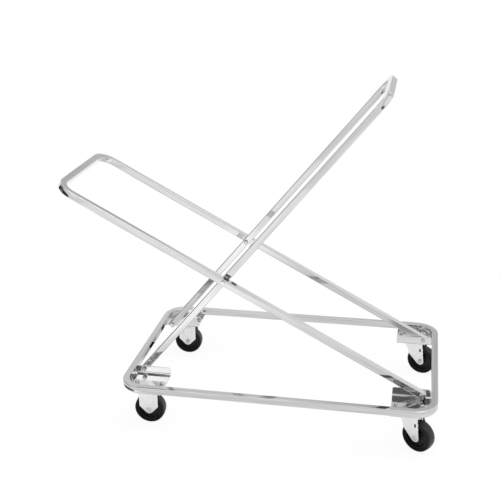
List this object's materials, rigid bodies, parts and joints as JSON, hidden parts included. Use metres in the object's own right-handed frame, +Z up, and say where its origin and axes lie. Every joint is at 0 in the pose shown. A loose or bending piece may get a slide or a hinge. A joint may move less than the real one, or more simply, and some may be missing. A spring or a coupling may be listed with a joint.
{
  "type": "stacking chair trolley",
  "caption": "Push trolley of chromed square tube: a rectangular base on castors carries a tall handle loop and a reclined cradle loop that cross in an X to hold a stack of seats.",
  "frame": {"origin": "on the floor below the middle of the whole trolley", "axes": "+X to the pushing end with the swivel castors, +Y to the right-hand side as the pusher looks away from -X, +Z up"},
  "size_m": [1.2203, 0.62, 1.0959],
  "materials": {
    "chrome_tube": "bright chrome plate",
    "chrome_plate": "bright chrome plate on bent sheet",
    "zinc_fastener": "bright zinc plate",
    "zinc_fork": "bright zinc plate, pressed sheet",
    "sleeve_steel": "plain turned steel",
    "core_plastic": "black moulded plastic",
    "tyre_rubber": "matt black rubber"
  },
  "bodies": {
    "chassis": {"base_frame": "chrome_tube", "handle_loop": "chrome_tube", "cradle_loop": "chrome_tube", "front_left_pan": "chrome_plate", "front_right_pan": "chrome_plate", "rear_left_pan": "chrome_plate", "rear_right_pan": "chrome_plate", "handle_foot_bolts": "zinc_fastener", "handle_foot_nuts": "zinc_fastener", "cradle_foot_bolts": "zinc_fastener", "cradle_foot_nuts": "zinc_fastener", "crossing_bolts": "zinc_fastener", "crossing_spacers": "zinc_fastener", "crossing_nuts": "zinc_fastener", "castor_bolts": "zinc_fastener", "castor_washers": "zinc_fastener", "castor_nuts": "zinc_fastener", "front_left_fork": "zinc_fork", "front_left_axle": "zinc_fastener", "front_left_axle_nut": "zinc_fastener", "front_left_sleeve": "sleeve_steel", "front_right_fork": "zinc_fork", "front_right_axle": "zinc_fastener", "front_right_axle_nut": "zinc_fastener", "front_right_sleeve": "sleeve_steel", "rear_left_top_plate": "zinc_fork", "rear_left_king_pin": "zinc_fastener", "rear_right_top_plate": "zinc_fork", "rear_right_king_pin": "zinc_fastener"},
    "front_left_wheel": {"front_left_wheel_core": "core_plastic", "front_left_tyre": "tyre_rubber"},
    "front_right_wheel": {"front_right_wheel_core": "core_plastic", "front_right_tyre": "tyre_rubber"},
    "rear_left_wheel": {"rear_left_wheel_core": "core_plastic", "rear_left_tyre": "tyre_rubber"},
    "rear_right_wheel": {"rear_right_wheel_core": "core_plastic", "rear_right_tyre": "tyre_rubber"},
    "rear_left_swivel": {"rear_left_fork": "zinc_fork", "rear_left_balls": "sleeve_steel", "rear_left_axle": "zinc_fastener", "rear_left_axle_nut": "zinc_fastener", "rear_left_sleeve": "sleeve_steel"},
    "rear_right_swivel": {"rear_right_fork": "zinc_fork", "rear_right_balls": "sleeve_steel", "rear_right_axle": "zinc_fastener", "rear_right_axle_nut": "zinc_fastener", "rear_right_sleeve": "sleeve_steel"}
  },
  "joints": [
    {"name": "front_left_wheel_spin", "type": "hinge", "parent": "chassis", "child": "front_left_wheel", "pos_m": [-0.32091, -0.2455, 0.051], "axis": [0, 1, 0], "continuous": true},
    {"name": "front_right_wheel_spin", "type": "hinge", "parent": "chassis", "child": "front_right_wheel", "pos_m": [-0.32091, 0.2455, 0.051], "axis": [0, 1, 0], "continuous": true},
    {"name": "rear_left_swivel_turn", "type": "hinge", "parent": "chassis", "child": "rear_left_swivel", "pos_m": [0.52109, -0.2455, 0.123], "axis": [0, 0, 1], "continuous": true},
    {"name": "rear_left_wheel_spin", "type": "hinge", "parent": "rear_left_swivel", "child": "rear_left_wheel", "pos_m": [0.55501, -0.2667, 0.051], "axis": [0.5299, 0.848, 0], "continuous": true},
    {"name": "rear_right_swivel_turn", "type": "hinge", "parent": "chassis", "child": "rear_right_swivel", "pos_m": [0.52109, 0.2455, 0.123], "axis": [0, 0, 1], "continuous": true},
    {"name": "rear_right_wheel_spin", "type": "hinge", "parent": "rear_right_swivel", "child": "rear_right_wheel", "pos_m": [0.55844, 0.23117, 0.051], "axis": [0.3584, 0.9336, 0], "continuous": true}
  ]
}
